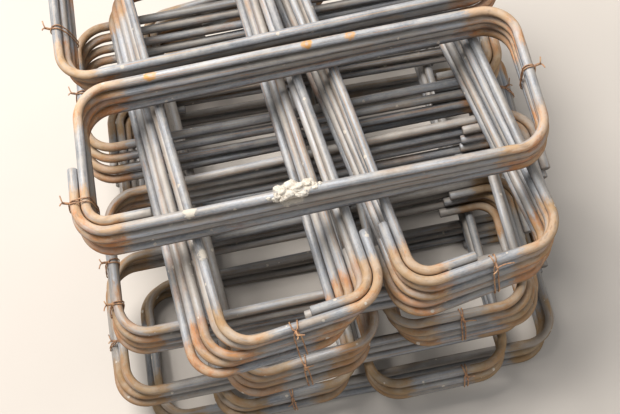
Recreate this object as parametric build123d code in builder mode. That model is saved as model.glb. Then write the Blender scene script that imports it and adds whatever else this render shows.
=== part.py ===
from build123d import *
from dataclasses import dataclass
from math import atan2, cos, degrees, hypot, radians, sin
import os

# A criss-cross heap of tied bundles of closed stirrups, bent from round reinforcing bar.
#
# Every stirrup is one bar. It has three plain corners and a closing corner, where its two ends
# lie one inside the other, each with a straight tail. The stirrups of a bundle lie flat on each
# other, fanned a little, and soft wire holds them together. Each layer of the heap has two
# bundles side by side, and lies a quarter turn across the layer under it. Millimetres, +Z up,
# standing on Z = 0, with the origin under the middle of the heap.

# The bar, and the outside size of the stirrup that is bent from it
bar_diameter = 12
stirrup_length = 560
stirrup_width = 200
bend_radius = 38
tail_length = 48

# The room between two bars that lie against each other
lay_gap = 0.3

# The tie: soft wire, wound twice round one leg of every stirrup in a bundle and twisted off
wire_diameter = 1.6
wire_sides = 6
wire_clearance = 0.3
turn_spacing = 2.2
twist_diameter = 2.6
twist_length = 16
twist_rise = 35

# Centre lines: of the stirrup's outer track, and from one bar to the next
half_length = (stirrup_length - bar_diameter) / 2
half_width = (stirrup_width - bar_diameter) / 2
bar_pitch = bar_diameter + lay_gap
tie_radius = bar_diameter / 2 + wire_clearance + wire_diameter / 2


@dataclass
class Bundle:
    """One tied bundle, and how it lies in its layer.

    slide is how far it is pushed along its own length, turn its angle, fan the step from each
    stirrup to the one on it, and twist that step's angle. ties lists the side of each tied leg,
    what the tie is set out from, and how far it lies along the leg from there: from the "middle"
    of the leg, or from the "bend" at its left or front end.
    """

    name: str
    stirrups: int
    slide: float
    turn: float
    fan: tuple
    twist: float
    corner: str
    ties: tuple


@dataclass
class Layer:
    """Two bundles side by side, and the gap between them.

    middle is the X of the middle of the pair and front the Y of its front edge.
    """

    runs: str
    middle: float
    front: float
    gap: float
    bundles: tuple


# The layers from the floor up. An "across" layer has its long legs along X and its first bundle
# in front, and an "away" layer has them along Y and its first bundle on the left.
heap = (
    Layer("across", -6, -261, 50, (
        Bundle("level_1_front_bundle", 3, 9, 0.5, (6, 4), 0.3, "rear_right", ()),
        Bundle("level_1_rear_bundle", 3, -9, -0.8, (-6, 5), -0.3, "rear_left", ()),
    )),
    Layer("away", 1, -279, 14, (
        Bundle(
            "level_2_left_bundle", 3, 6, 2.6, (4, 5), 0.4, "rear_left",
            (("front", "middle", 10),),
        ),
        Bundle(
            "level_2_right_bundle", 3, -6, 1.6, (3, 5), -0.3, "rear_right",
            (("front", "middle", 24),),
        ),
    )),
    Layer("across", -7, -238.5, 31, (
        Bundle(
            "level_3_front_bundle", 3, -15, 1.4, (7, 6), 0.4, "rear_right",
            (("left", "middle", -17),),
        ),
        Bundle(
            "level_3_rear_bundle", 3, 15, -0.8, (-7, 5), 0.4, "rear_left",
            (("right", "middle", 8),),
        ),
    )),
    Layer("away", 28, -250, 32, (
        Bundle(
            "level_4_left_bundle", 4, -11, 5.7, (4, 4), 0.4, "rear_left",
            (("front", "middle", 4),),
        ),
        Bundle(
            "level_4_right_bundle", 4, 11, 2.4, (-3, 5), -0.3, "rear_right",
            (("front", "middle", -14),),
        ),
    )),
    Layer("across", -17, -196, 42, (
        Bundle(
            "level_5_front_bundle", 4, 17.5, 0.8, (4.5, 5), 0.3, "rear_right",
            (("left", "middle", 7), ("left", "bend", 8)),
        ),
        Bundle(
            "level_5_rear_bundle", 4, -0.5, 0.2, (4, 9), -0.2, "front_right",
            (("left", "middle", 8),),
        ),
    )),
    Layer("away", 11.5, -236, 15, (
        Bundle(
            "level_6_left_bundle", 5, -15, 7, (10.5, 4), 0.4, "front_right",
            (("front", "middle", 7),),
        ),
        Bundle(
            "level_6_right_bundle", 5, 15, 9.5, (5, 4), -0.4, "front_left",
            (("front", "middle", 14),),
        ),
    )),
    Layer("across", -6, -105, 11, (
        Bundle(
            "level_7_front_bundle", 4, -2, 1.2, (0, 3), -0.3, "front_left",
            (("left", "bend", 8), ("right", "middle", 4)),
        ),
        Bundle(
            "level_7_rear_bundle", 4, 0, 1.2, (-3, 2), 0.2, "rear_right",
            (("left", "middle", -18),),
        ),
    )),
)


def stirrup_halves(layer):
    """Half the centre-line size of the layer's stirrups along X and along Y."""
    return (half_length, half_width) if layer.runs == "across" else (half_width, half_length)


def bundle_place(layer, bundle):
    """The middle of the bundle in the heap, and its turn, at the height of its layer."""
    side = -1 if bundle is layer.bundles[0] else 1
    from_middle = side * (stirrup_width + layer.gap) / 2
    below = heap[: heap.index(layer)]
    height = bar_pitch * sum(under.bundles[0].stirrups for under in below)
    if layer.runs == "across":
        y = layer.front + stirrup_width + layer.gap / 2 + from_middle
        return Location((layer.middle + bundle.slide, y, height), (0, 0, bundle.turn))
    y = layer.front + stirrup_length / 2 + bundle.slide
    return Location((layer.middle + from_middle, y, height), (0, 0, bundle.turn))


def steps_from_middle(bundle, level):
    """How many steps of the fan a stirrup lies from the middle of its bundle."""
    return level - (bundle.stirrups - 1) / 2


def build_stirrup(layer, corner):
    """One stirrup with its underside on Z = 0 and its closing corner where it is named."""
    half_x, half_y = stirrup_halves(layer)
    inner_x = half_x - bar_pitch
    inner_y = half_y - bar_pitch
    bend_and_tail = bend_radius + tail_length
    points = [
        (half_x, bend_and_tail - half_y),
        (half_x, -half_y),
        (-half_x, -half_y),
        (-half_x, half_y),
        (inner_x, half_y),
        (inner_x, -inner_y),
        (half_x - bend_and_tail, -inner_y),
    ]
    radii = [bend_radius] * 4 + [bend_radius - bar_pitch]
    flip_x = -1 if corner.endswith("left") else 1
    flip_y = -1 if corner.startswith("rear") else 1
    with BuildPart() as stirrup:
        with BuildLine(Plane.XY.offset(bar_diameter / 2)) as bent_line:
            FilletPolyline(*[(flip_x * x, flip_y * y) for x, y in points], radius=radii)
        path = bent_line.wires()[0]
        with BuildSketch(Plane(origin=path @ 0, z_dir=path % 0)):
            Circle(bar_diameter / 2)
        sweep(path=path)
    return stirrup.part


def tie_place(layer, side, set_out_from, distance):
    """Where a tie sits along its leg, from the leg's middle."""
    half_x, half_y = stirrup_halves(layer)
    half_leg = half_y if side in ("left", "right") else half_x
    return distance if set_out_from == "middle" else bend_radius - half_leg + distance


def bars_at_tie(layer, bundle, side, along):
    """The bars that a tie holds: the legs' centres, and those of the tails that lie beside them.

    A centre is given across the leg and in height, and the lowest stirrup's comes first.
    """
    half_x, half_y = stirrup_halves(layer)
    runs_along_y = side in ("left", "right")
    half_across, half_along = (half_x, half_y) if runs_along_y else (half_y, half_x)
    outward = -1 if side in ("left", "front") else 1
    leg_track, tail_track = half_across, half_across - bar_pitch
    if runs_along_y and side in bundle.corner:
        leg_track, tail_track = tail_track, leg_track
    closing_end = "rear" if runs_along_y else "right"
    towards = 1 if closing_end in bundle.corner else -1
    tail_end = towards * (half_along - bend_radius - tail_length)
    tail_reach = turn_spacing + wire_diameter

    def centre(level, track):
        step = steps_from_middle(bundle, level)
        fan_across, fan_along = bundle.fan if runs_along_y else reversed(bundle.fan)
        twist = radians(bundle.twist * step) * (1 if runs_along_y else -1)
        on_leg = (along - fan_along * step - outward * track * sin(twist)) / cos(twist)
        across = fan_across * step + outward * track * cos(twist) - on_leg * sin(twist)
        return (across, bar_pitch * level + bar_diameter / 2), on_leg

    levels = range(bundle.stirrups)
    legs = [centre(level, leg_track)[0] for level in levels]
    tails = []
    if side in bundle.corner:
        ends = [centre(level, tail_track) for level in levels]
        tails = [spot for spot, on_leg in ends if towards * (on_leg - tail_end) > -tail_reach]
    return legs, tails


def build_tie(layer, bundle, side, set_out_from, distance):
    """One tie in the bundle's own frame: two turns round the bars and the twisted ends."""
    along = tie_place(layer, side, set_out_from, distance)
    legs, tails = bars_at_tie(layer, bundle, side, along)
    (low_x, low_z), (high_x, high_z) = legs[0], legs[-1]
    reach = hypot(high_x - low_x, high_z - low_z)
    lean = degrees(atan2(high_z - low_z, high_x - low_x))
    if side in ("left", "right"):
        tie_plane = Plane.XZ.offset(-along)
    else:
        tie_plane = Plane.YZ.offset(along)
    outward = -1 if side in ("left", "front") else 1
    root_x, root_z = max(legs[-1:] + tails[-1:], key=lambda spot: (spot[1], outward * spot[0]))
    aim_x = outward * cos(radians(twist_rise))
    aim_z = sin(radians(twist_rise))
    root = tie_plane.from_local_coords((root_x + tie_radius * aim_x, root_z + tie_radius * aim_z, 0))
    aim = tie_plane.from_local_coords((aim_x, aim_z, 0)) - tie_plane.origin
    with BuildPart() as tie:
        for turn in (-1, 1):
            turn_plane = tie_plane.offset(turn * turn_spacing / 2)
            with BuildSketch(turn_plane, mode=Mode.PRIVATE) as round_the_bars:
                if tails:
                    Polygon(*dict.fromkeys((legs[0], tails[0], tails[-1], legs[-1])))
                    offset(amount=tie_radius)
                else:
                    with Locations(((low_x + high_x) / 2, (low_z + high_z) / 2)):
                        SlotCenterToCenter(reach, 2 * tie_radius, rotation=lean)
            path = round_the_bars.sketch.face().outer_wire()
            with BuildSketch(Plane(origin=path @ 0, z_dir=path % 0)):
                RegularPolygon(wire_diameter / 2, wire_sides)
            sweep(path=path)
        with BuildSketch(Plane(origin=root, z_dir=aim)):
            RegularPolygon(twist_diameter / 2, wire_sides)
        extrude(amount=twist_length)
    return tie.part


def build_bundle(layer, bundle):
    """The stirrups of one bundle, each on the one under it, in the bundle's own frame."""
    stirrup = build_stirrup(layer, bundle.corner)
    with BuildPart() as stack:
        for level in range(bundle.stirrups):
            step = steps_from_middle(bundle, level)
            place = (bundle.fan[0] * step, bundle.fan[1] * step, bar_pitch * level)
            with Locations(Location(place, (0, 0, bundle.twist * step))):
                add(stirrup)
    return stack.part


def build_ties(layer, bundle):
    """The ties of one bundle, in the bundle's own frame."""
    made = [build_tie(layer, bundle, *tie) for tie in bundle.ties]
    with BuildPart() as ties:
        for tie in made:
            add(tie)
    return ties.part


pieces = {}
for layer in heap:
    for bundle in layer.bundles:
        place = bundle_place(layer, bundle)
        pieces[bundle.name] = build_bundle(layer, bundle).moved(place)
        if bundle.ties:
            pieces[bundle.name.replace("bundle", "ties")] = build_ties(layer, bundle).moved(place)

boxes = [piece.bounding_box() for piece in pieces.values()]
middle_x = (min(box.min.X for box in boxes) + max(box.max.X for box in boxes)) / 2
middle_y = (min(box.min.Y for box in boxes) + max(box.max.Y for box in boxes)) / 2

os.makedirs("parts", exist_ok=True)
for name, piece in pieces.items():
    centred = piece.moved(Location((-middle_x, -middle_y, 0)))
    centred.label = name
    export_step(centred, f"parts/{name}.step")
print(f"heap middle {middle_x:.2f} {middle_y:.2f}")
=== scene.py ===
"""Looks of a criss-cross heap of tied stirrup bundles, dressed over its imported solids.

Every bundle is swept again as finely rounded, slightly bowed bars with mill scale, rust, dust and
sheared ends, and every tie as wire that is wound twice round the legs and twisted off. Lengths in
the tables are millimetres, as on a bending list, angles are degrees, and meshes are made in metres.
"""

import logging
import math
from dataclasses import dataclass, field
from enum import Enum

import bpy
import numpy as np
from mathutils import Matrix, Vector

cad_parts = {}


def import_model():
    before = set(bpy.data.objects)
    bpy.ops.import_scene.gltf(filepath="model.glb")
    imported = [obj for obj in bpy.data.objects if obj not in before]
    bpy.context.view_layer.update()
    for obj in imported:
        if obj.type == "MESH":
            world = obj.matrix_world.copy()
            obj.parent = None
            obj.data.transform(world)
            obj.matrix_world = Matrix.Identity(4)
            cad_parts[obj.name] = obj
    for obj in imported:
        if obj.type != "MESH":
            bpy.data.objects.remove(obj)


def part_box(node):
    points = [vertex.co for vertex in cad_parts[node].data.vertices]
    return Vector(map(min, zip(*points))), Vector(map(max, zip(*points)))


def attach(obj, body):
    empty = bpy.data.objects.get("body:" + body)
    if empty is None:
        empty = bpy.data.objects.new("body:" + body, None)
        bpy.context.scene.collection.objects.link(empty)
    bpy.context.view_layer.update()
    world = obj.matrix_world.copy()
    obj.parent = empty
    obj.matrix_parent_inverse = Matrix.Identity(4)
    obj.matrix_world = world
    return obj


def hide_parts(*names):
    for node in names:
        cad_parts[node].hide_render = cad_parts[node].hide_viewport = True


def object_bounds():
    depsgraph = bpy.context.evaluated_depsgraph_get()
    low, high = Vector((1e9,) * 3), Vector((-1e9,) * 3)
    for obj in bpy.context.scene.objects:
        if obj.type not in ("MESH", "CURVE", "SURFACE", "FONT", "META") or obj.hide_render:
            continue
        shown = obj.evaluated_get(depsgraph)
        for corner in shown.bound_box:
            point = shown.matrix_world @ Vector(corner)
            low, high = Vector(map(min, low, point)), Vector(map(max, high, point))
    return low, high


MM = 0.001
FULL_TURN = 2 * math.pi
BUNDLE_SEED, TIE_SEED = 100, 300
LOG = logging.getLogger("stirrup_heap")
Pair = tuple[float, float]
Triple = tuple[float, float, float]
Colour = Triple
Socket = bpy.types.NodeSocket
Value = Socket | float | tuple | None


class Runs(Enum):
    """The way a layer's long legs run."""

    ACROSS = "across"
    AWAY = "away"


class Side(Enum):
    """A leg of a stirrup that ties hold, as seen from the front of the heap."""

    LEFT = "left"
    RIGHT = "right"
    FRONT = "front"


class Start(Enum):
    """What a tie's distance along its leg is set out from."""

    MIDDLE = "middle"
    BEND = "bend"


class Corner(Enum):
    """The corner of a stirrup where its two ends close: the sign of its X and of its Y."""

    FRONT_LEFT = (-1, -1)
    FRONT_RIGHT = (1, -1)
    REAR_LEFT = (-1, 1)
    REAR_RIGHT = (1, 1)


@dataclass(frozen=True)
class BarSize:
    """The bar and the stirrup that is bent from it, in millimetres.

    length and width are over the bar's outside, bend is the centre line's radius, and gap lies
    between one bar and the next.
    """

    diameter: float = 12.0
    length: float = 560.0
    width: float = 200.0
    bend: float = 38.0
    tail: float = 48.0
    gap: float = 0.3

    @property
    def pitch(self) -> float:
        """Returns the distance from one bar's centre line to the next."""
        return self.diameter + self.gap

    @property
    def radius(self) -> float:
        """Returns the bar's radius."""
        return self.diameter / 2

    @property
    def halves(self) -> Pair:
        """Returns half the centre-line length and half the centre-line width."""
        return (self.length - self.diameter) / 2, (self.width - self.diameter) / 2


@dataclass(frozen=True)
class WireSize:
    """The tie wire and its twisted end, in millimetres and degrees.

    twist_share is the part of the end that is twisted, and twist_rise how steeply the end rises.
    """

    diameter: float = 1.6
    clearance: float = 0.3
    twist_length: float = 14.0
    twist_turns: float = 3.0
    twist_share: float = 0.55
    twist_rise: float = 35.0

    def off(self, bar: BarSize) -> float:
        """Returns how far the wire's centre runs from the centre of a bar that it rounds."""
        return bar.radius + self.clearance + self.diameter / 2


@dataclass(frozen=True)
class Tie:
    """Where a tie sits, and how loosely it is wound.

    The place is a distance along the leg, set out from its middle or from the bend at its left or
    front end. spread is how far its two turns lie apart, and loose_end how far one end sticks out.
    """

    side: Side
    start: Start
    distance: float
    spread: float = 3.4
    loose_end: float = 7.0

    def along(self, bar: BarSize, half_leg: float) -> float:
        """Returns the tie's place along its leg, from the middle of a leg of that half length."""
        return self.distance if self.start is Start.MIDDLE else bar.bend - half_leg + self.distance


@dataclass(frozen=True)
class Bundle:
    """One tied bundle and how it lies in its layer.

    slide is how far it is moved along its long legs, and turn how far it is turned. fan and twist
    are the shift and the turn from each stirrup to the one above it.
    """

    name: str
    count: int
    slide: float
    turn: float
    fan: Pair
    twist: float
    corner: Corner
    ties: tuple[Tie, ...] = ()


@dataclass(frozen=True)
class Layer:
    """Two bundles side by side, the X of the pair's middle, the Y of its front edge, and the gap."""

    runs: Runs
    middle: float
    front: float
    gap: float
    bundles: tuple[Bundle, Bundle]


LEFT, RIGHT, FRONT = Side.LEFT, Side.RIGHT, Side.FRONT
MID, BEND = Start.MIDDLE, Start.BEND
FRONT_LEFT, FRONT_RIGHT = Corner.FRONT_LEFT, Corner.FRONT_RIGHT
REAR_LEFT, REAR_RIGHT = Corner.REAR_LEFT, Corner.REAR_RIGHT

HEAP = (
    Layer(Runs.ACROSS, -6, -261, 50, (
        Bundle("level_1_front", 3, 9, 0.5, (6, 4), 0.3, REAR_RIGHT),
        Bundle("level_1_rear", 3, -9, -0.8, (-6, 5), -0.3, REAR_LEFT),
    )),
    Layer(Runs.AWAY, 1, -279, 14, (
        Bundle("level_2_left", 3, 6, 2.6, (4, 5), 0.4, REAR_LEFT, (Tie(FRONT, MID, 10),)),
        Bundle("level_2_right", 3, -6, 1.6, (3, 5), -0.3, REAR_RIGHT, (Tie(FRONT, MID, 24, 4.5),)),
    )),
    Layer(Runs.ACROSS, -7, -238.5, 31, (
        Bundle("level_3_front", 3, -15, 1.4, (7, 6), 0.4, REAR_RIGHT, (Tie(LEFT, MID, -17),)),
        Bundle("level_3_rear", 3, 15, -0.8, (-7, 5), 0.4, REAR_LEFT, (Tie(RIGHT, MID, 8),)),
    )),
    Layer(Runs.AWAY, 28, -250, 32, (
        Bundle("level_4_left", 4, -11, 5.7, (4, 4), 0.4, REAR_LEFT, (Tie(FRONT, MID, 4, 5.0),)),
        Bundle("level_4_right", 4, 11, 2.4, (-3, 5), -0.3, REAR_RIGHT,
               (Tie(FRONT, MID, -14, 4.0, 12),)),
    )),
    Layer(Runs.ACROSS, -17, -196, 42, (
        Bundle("level_5_front", 4, 17.5, 0.8, (4.5, 5), 0.3, REAR_RIGHT,
               (Tie(LEFT, MID, 7, 5.0), Tie(LEFT, BEND, 8))),
        Bundle("level_5_rear", 4, -0.5, 0.2, (4, 9), -0.2, FRONT_RIGHT, (Tie(LEFT, MID, 8),)),
    )),
    Layer(Runs.AWAY, 11.5, -236, 15, (
        Bundle("level_6_left", 5, -15, 7, (10.5, 4), 0.4, FRONT_RIGHT,
               (Tie(FRONT, MID, 7, 9.0, 6),)),
        Bundle("level_6_right", 5, 15, 9.5, (5, 4), -0.4, FRONT_LEFT,
               (Tie(FRONT, MID, 14, 5.0, 22),)),
    )),
    Layer(Runs.ACROSS, -6, -105, 11, (
        Bundle("level_7_front", 4, -2, 1.2, (0, 3), -0.3, FRONT_LEFT,
               (Tie(LEFT, BEND, 8, 4.5), Tie(RIGHT, MID, 4, 3.0, 9))),
        Bundle("level_7_rear", 4, 0, 1.2, (-3, 2), 0.2, REAR_RIGHT, (Tie(LEFT, MID, -18, 5.5),)),
    )),
)


@dataclass(frozen=True)
class Streaks:
    """A noise that is drawn out along the bar.

    along and across are how many features a metre along the bar and a metre across it would have.
    share is the noise's weight where several are blended, shows is the stretch of the noise over
    which the effect comes up, and strength is how far it comes up.
    """

    along: float
    across: float
    octaves: float
    share: float = 1.0
    shows: Pair = (0.0, 1.0)
    strength: float = 1.0


@dataclass(frozen=True)
class BarFinish:
    """The hot-rolled bar's surface: linear colours, streaks, and how strongly each effect shows.

    by_bar fields vary an effect from bar to bar, by_depth fields from the top layer down, and
    by_height fields from the top bar of a bundle down. A size is how many features a metre has,
    and bend_edge's strength is how far the edge of the rust strays.
    """

    scale_dark: Colour = (0.180, 0.184, 0.196)
    scale_light: Colour = (0.46, 0.472, 0.50)
    film: Colour = (0.35, 0.288, 0.225)
    rust_pale: Colour = (0.58, 0.365, 0.205)
    rust_orange: Colour = (0.56, 0.205, 0.048)
    rust_brown: Colour = (0.20, 0.10, 0.045)
    ochre: Colour = (0.45, 0.255, 0.090)
    # The darker rust colour that the bends turn towards further down the heap.
    rust_darker_down: Colour = (0.30, 0.185, 0.065)
    # Painted shade: the dark colour laid on the bars' flanks and undersides.
    painted_flank_shade: Colour = (0.085, 0.068, 0.052)
    fresh: Colour = (0.58, 0.28, 0.075)
    dust: Colour = (0.60, 0.555, 0.49)
    # Painted shade of the deeper layers: the colours that steel and rust darken towards.
    deep_shade_steel: Colour = (0.10, 0.10, 0.102)
    deep_shade_rust: Colour = (0.16, 0.105, 0.045)

    long_streaks: Streaks = Streaks(7.0, 330.0, 4.0, 0.34)
    broad_tone: Streaks = Streaks(12.0, 45.0, 2.0, 0.26)
    short_streaks: Streaks = Streaks(34.0, 420.0, 3.0, 0.20)
    speckles: Streaks = Streaks(240.0, 700.0, 3.0, 0.20, (0.60, 0.70), 0.5)
    film_streaks: Streaks = Streaks(5.0, 90.0, 4.0, 0.7, (0.45, 0.60), 0.72)
    brown_streaks: Streaks = Streaks(60.0, 200.0, 4.0, 1.0, (0.52, 0.66), 0.55)
    bend_edge: Streaks = Streaks(16.0, 190.0, 3.0, 0.5, (0.24, 0.66), 1.9)
    worn_bends: Streaks = Streaks(21.0, 130.0, 4.0, 0.8, (0.50, 0.64), 0.66)
    seams: Streaks = Streaks(2.2, 430.0, 2.0, 1.0, (0.60, 0.68), 0.55)
    patches: Streaks = Streaks(11.0, 60.0, 5.0, 1.0, (0.58, 0.68), 0.45)

    tone_range: Pair = (0.37, 0.61)
    tone_by_bar: float = 0.10
    film_by_bar: float = 0.12
    film_by_depth: float = 0.05
    rust_drawn_out: Triple = (0.45, 1.0, 1.0)
    rust_size: float = 95.0
    rust_base: float = 0.11
    rust_by_bar: float = 0.10
    rust_by_height: float = 0.13
    rust_by_depth: float = 0.10
    rust_darker_by_depth: float = 0.8
    edge_by_bar: float = 0.5
    worn_by_height: float = 0.5
    bare_speckles: float = 0.25
    # How strongly the painted shade on the flanks and undersides shows.
    painted_flank_shade_amount: float = 0.70
    dust_amount: float = 0.40
    # How strongly the painted shade of the deeper layers shows.
    shade_by_depth: float = 0.34
    splash_ragged: float = 0.45
    drop_size: float = 120.0
    drop_share: float = 0.075
    drop_strength: float = 0.85

    metallic: float = 0.14
    roughness_scale: float = 0.50
    roughness_rust: float = 0.80
    roughness_crust: float = 0.95
    roughness_dust: float = 0.25
    roughness_streaks: float = 0.25

    grain_size: float = 850.0
    grain_height: float = 0.28
    pit_height: float = 0.12
    streak_height: float = 0.18
    rust_height: float = 0.9
    crust_height: float = 1.6
    bump_depth: float = 0.0008
    bump_strength: float = 0.5


@dataclass(frozen=True)
class WireFinish:
    """The rusted tie wire's surface, in linear colours."""

    light: Colour = (0.50, 0.25, 0.12)
    dark: Colour = (0.17, 0.085, 0.05)
    ochre: Colour = (0.55, 0.32, 0.15)
    dust: Colour = (0.50, 0.40, 0.31)
    dust_amount: float = 0.35
    rust_size: float = 260.0
    roughness: float = 0.72
    grain_size: float = 2600.0
    bump_depth: float = 0.0002
    bump_strength: float = 0.5


@dataclass(frozen=True)
class MortarFinish:
    """The dried mortar's surface, in linear colours."""

    light: Colour = (0.74, 0.68, 0.59)
    dark: Colour = (0.50, 0.42, 0.33)
    tone_range: Pair = (0.36, 0.60)
    tone_size: float = 120.0
    tone_share: float = 0.4
    roughness: float = 0.95
    grain_size: float = 520.0
    pit_height: float = 0.5
    bump_depth: float = 0.0010
    bump_strength: float = 0.8


@dataclass(frozen=True)
class FloorFinish:
    """The plain pale floor's surface, in linear colours."""

    dark: Colour = (0.60, 0.54, 0.48)
    light: Colour = (0.66, 0.60, 0.54)
    tone_size: float = 3.0
    roughness: float = 0.9


@dataclass(frozen=True)
class Splash:
    """A spot on the bars: its centre in the uncentred heap, and its radius, in millimetres."""

    centre: Triple
    radius: float


SPLASHES = (
    Splash((-33.0, -93.0, 312.0), 17.0),
    Splash((-14.0, -91.0, 315.0), 9.0),
    Splash((-149.0, -97.5, 317.5), 8.0),
    Splash((-147.5, -131.0, 266.0), 7.5),
    Splash((-129.0, -262.0, 184.0), 5.0),
    Splash((80.0, -268.0, 228.0), 5.0),
)

FRESH_RUST = (
    Splash((-175.0, 89.7, 319.0), 8.0),
    Splash((16.5, 92.2, 319.0), 7.0),
    Splash((69.2, 92.9, 319.0), 7.0),
)


class Nodes:
    """Adds the few kinds of node that the materials and groups are made of."""

    def __init__(self, tree: bpy.types.NodeTree) -> None:
        """Keeps the node tree that the nodes go into."""
        self.tree = tree

    def feed(self, socket: Socket, value: Value) -> None:
        """Joins a socket to another, or sets its value.

        Args:
            socket: the socket that is fed.
            value: a socket, number, vector or colour, or None to leave it as it is.
        """
        if isinstance(value, Socket):
            self.tree.links.new(value, socket)
        elif value is not None:
            opaque = socket.type == "RGBA" and len(value) == 3
            socket.default_value = (*value, 1.0) if opaque else value

    def math(self, operation: str, *values: Value, clamp: bool = False) -> Socket:
        """Adds a Math node.

        Args:
            operation: the node's operation.
            values: numbers or sockets, in order.
            clamp: whether the result is held between 0 and 1.

        Returns:
            The result's socket.
        """
        node = self.tree.nodes.new("ShaderNodeMath")
        node.operation, node.use_clamp = operation, clamp
        for socket, value in zip(node.inputs, values):
            self.feed(socket, value)
        return node.outputs[0]

    def add(self, first: Value, second: Value) -> Socket:
        """Returns the sum of two values."""
        return self.math("ADD", first, second)

    def less(self, first: Value, second: Value) -> Socket:
        """Returns the first value less the second."""
        return self.math("SUBTRACT", first, second)

    def times(self, first: Value, second: Value, clamp: bool = False) -> Socket:
        """Returns the product of two values, held between 0 and 1 if clamp says so."""
        return self.math("MULTIPLY", first, second, clamp=clamp)

    def larger(self, *values: Value, clamp: bool = False) -> Socket:
        """Returns the largest of several values.

        Args:
            values: numbers or sockets.
            clamp: whether the result is held between 0 and 1.

        Returns:
            The result's socket.
        """
        total = values[0]
        for value in values[1:]:
            total = self.math("MAXIMUM", total, value, clamp=clamp)
        return total

    def swing(self, value: Value, strength: Value) -> Socket:
        """Returns a value of 0 to 1 made to swing about 0, by the strength."""
        return self.times(self.less(value, 0.5), strength)

    def blend(self, *parts: tuple[Socket, float]) -> Socket:
        """Adds values up, each with its weight.

        Args:
            parts: pairs of a socket and its weight.

        Returns:
            The sum's socket.
        """
        total = self.times(*parts[0])
        for part in parts[1:]:
            total = self.add(total, self.times(*part))
        return total

    def vector(self, operation: str, *values: Value) -> Socket:
        """Adds a Vector Math node.

        Args:
            operation: the node's operation.
            values: vectors or sockets, in order.

        Returns:
            The result's socket: a number for a distance or dot product, otherwise a vector.
        """
        node = self.tree.nodes.new("ShaderNodeVectorMath")
        node.operation = operation
        for socket, value in zip(node.inputs, values):
            self.feed(socket, value)
        return node.outputs["Value" if operation in ("DISTANCE", "DOT_PRODUCT") else "Vector"]

    def noise(self, where: Socket, scale: Value, octaves: float = 3.0, rough: float = 0.5) -> Socket:
        """Adds a Noise Texture.

        Args:
            where: where the noise is read.
            scale: its scale.
            octaves: its detail.
            rough: its roughness.

        Returns:
            The noise value's socket.
        """
        node = self.tree.nodes.new("ShaderNodeTexNoise")
        fed = {"Vector": where, "Scale": scale, "Detail": octaves, "Roughness": rough}
        for label, value in fed.items():
            self.feed(node.inputs[label], value)
        return node.outputs["Fac"]

    def streaks(self, along_bar: Socket, kind: Streaks) -> Socket:
        """Returns a noise that is drawn out along the bar, read at a place on the bar."""
        drawn_out = self.vector("MULTIPLY", along_bar, (kind.along, kind.across, kind.across))
        return self.noise(drawn_out, 1.0, kind.octaves, 0.6)

    def shown(self, value: Socket, kind: Streaks) -> Socket:
        """Returns the mask of streaks: their noise stepped over its range, at its strength."""
        return self.times(self.step(value, *kind.shows), kind.strength)

    def voronoi(self, where: Socket, scale: Value) -> tuple[Socket, Socket]:
        """Adds a Voronoi Texture.

        Args:
            where: where it is read.
            scale: its scale.

        Returns:
            The distance to the cell's point, and a random value of the cell.
        """
        node = self.tree.nodes.new("ShaderNodeTexVoronoi")
        self.feed(node.inputs["Vector"], where)
        self.feed(node.inputs["Scale"], scale)
        split = self.tree.nodes.new("ShaderNodeSeparateColor")
        self.feed(split.inputs["Color"], node.outputs["Color"])
        return node.outputs["Distance"], split.outputs["Red"]

    def step(self, value: Value, low: Value, high: Value) -> Socket:
        """Adds a smooth step.

        Args:
            value: the socket that is stepped.
            low: where the step starts, at 0.
            high: where it ends, at 1, which may be lower than its start.

        Returns:
            The step's socket.
        """
        node = self.tree.nodes.new("ShaderNodeMapRange")
        node.interpolation_type = "SMOOTHSTEP"
        for label, given in {"Value": value, "From Min": low, "From Max": high}.items():
            self.feed(node.inputs[label], given)
        return node.outputs["Result"]

    def mix(self, share: Value, first: Value, second: Value) -> Socket:
        """Adds a colour mix.

        Args:
            share: 0 gives the first colour and 1 the second.
            first: a colour or socket.
            second: a colour or socket.

        Returns:
            The mixed colour's socket.
        """
        node = self.tree.nodes.new("ShaderNodeMix")
        node.data_type, node.clamp_factor = "RGBA", True
        coloured = [socket for socket in node.inputs if socket.type == "RGBA"]
        self.feed(node.inputs[0], share)
        self.feed(coloured[0], first)
        self.feed(coloured[1], second)
        return next(socket for socket in node.outputs if socket.type == "RGBA")

    def attribute(self, name: str, output: str = "Fac") -> Socket:
        """Adds a node that reads a mesh attribute.

        Args:
            name: the attribute.
            output: Fac for a number and Vector for a vector.

        Returns:
            The attribute's socket.
        """
        node = self.tree.nodes.new("ShaderNodeAttribute")
        node.attribute_name = name
        return node.outputs[output]

    def facing_up(self) -> Socket:
        """Returns how far the surface faces up, from -1 to 1."""
        normal = self.tree.nodes.new("ShaderNodeNewGeometry").outputs["Normal"]
        return self.vector("DOT_PRODUCT", normal, (0.0, 0.0, 1.0))

    def group(self, group: "ShaderGroup", **values: Value) -> bpy.types.bpy_prop_collection:
        """Adds a group node.

        Args:
            group: the group to use.
            values: what its inputs are given.

        Returns:
            The node's outputs, which carry the group's results.
        """
        node = self.tree.nodes.new("ShaderNodeGroup")
        node.node_tree = group.tree
        for label, value in values.items():
            self.feed(node.inputs[label], value)
        return node.outputs


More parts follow.
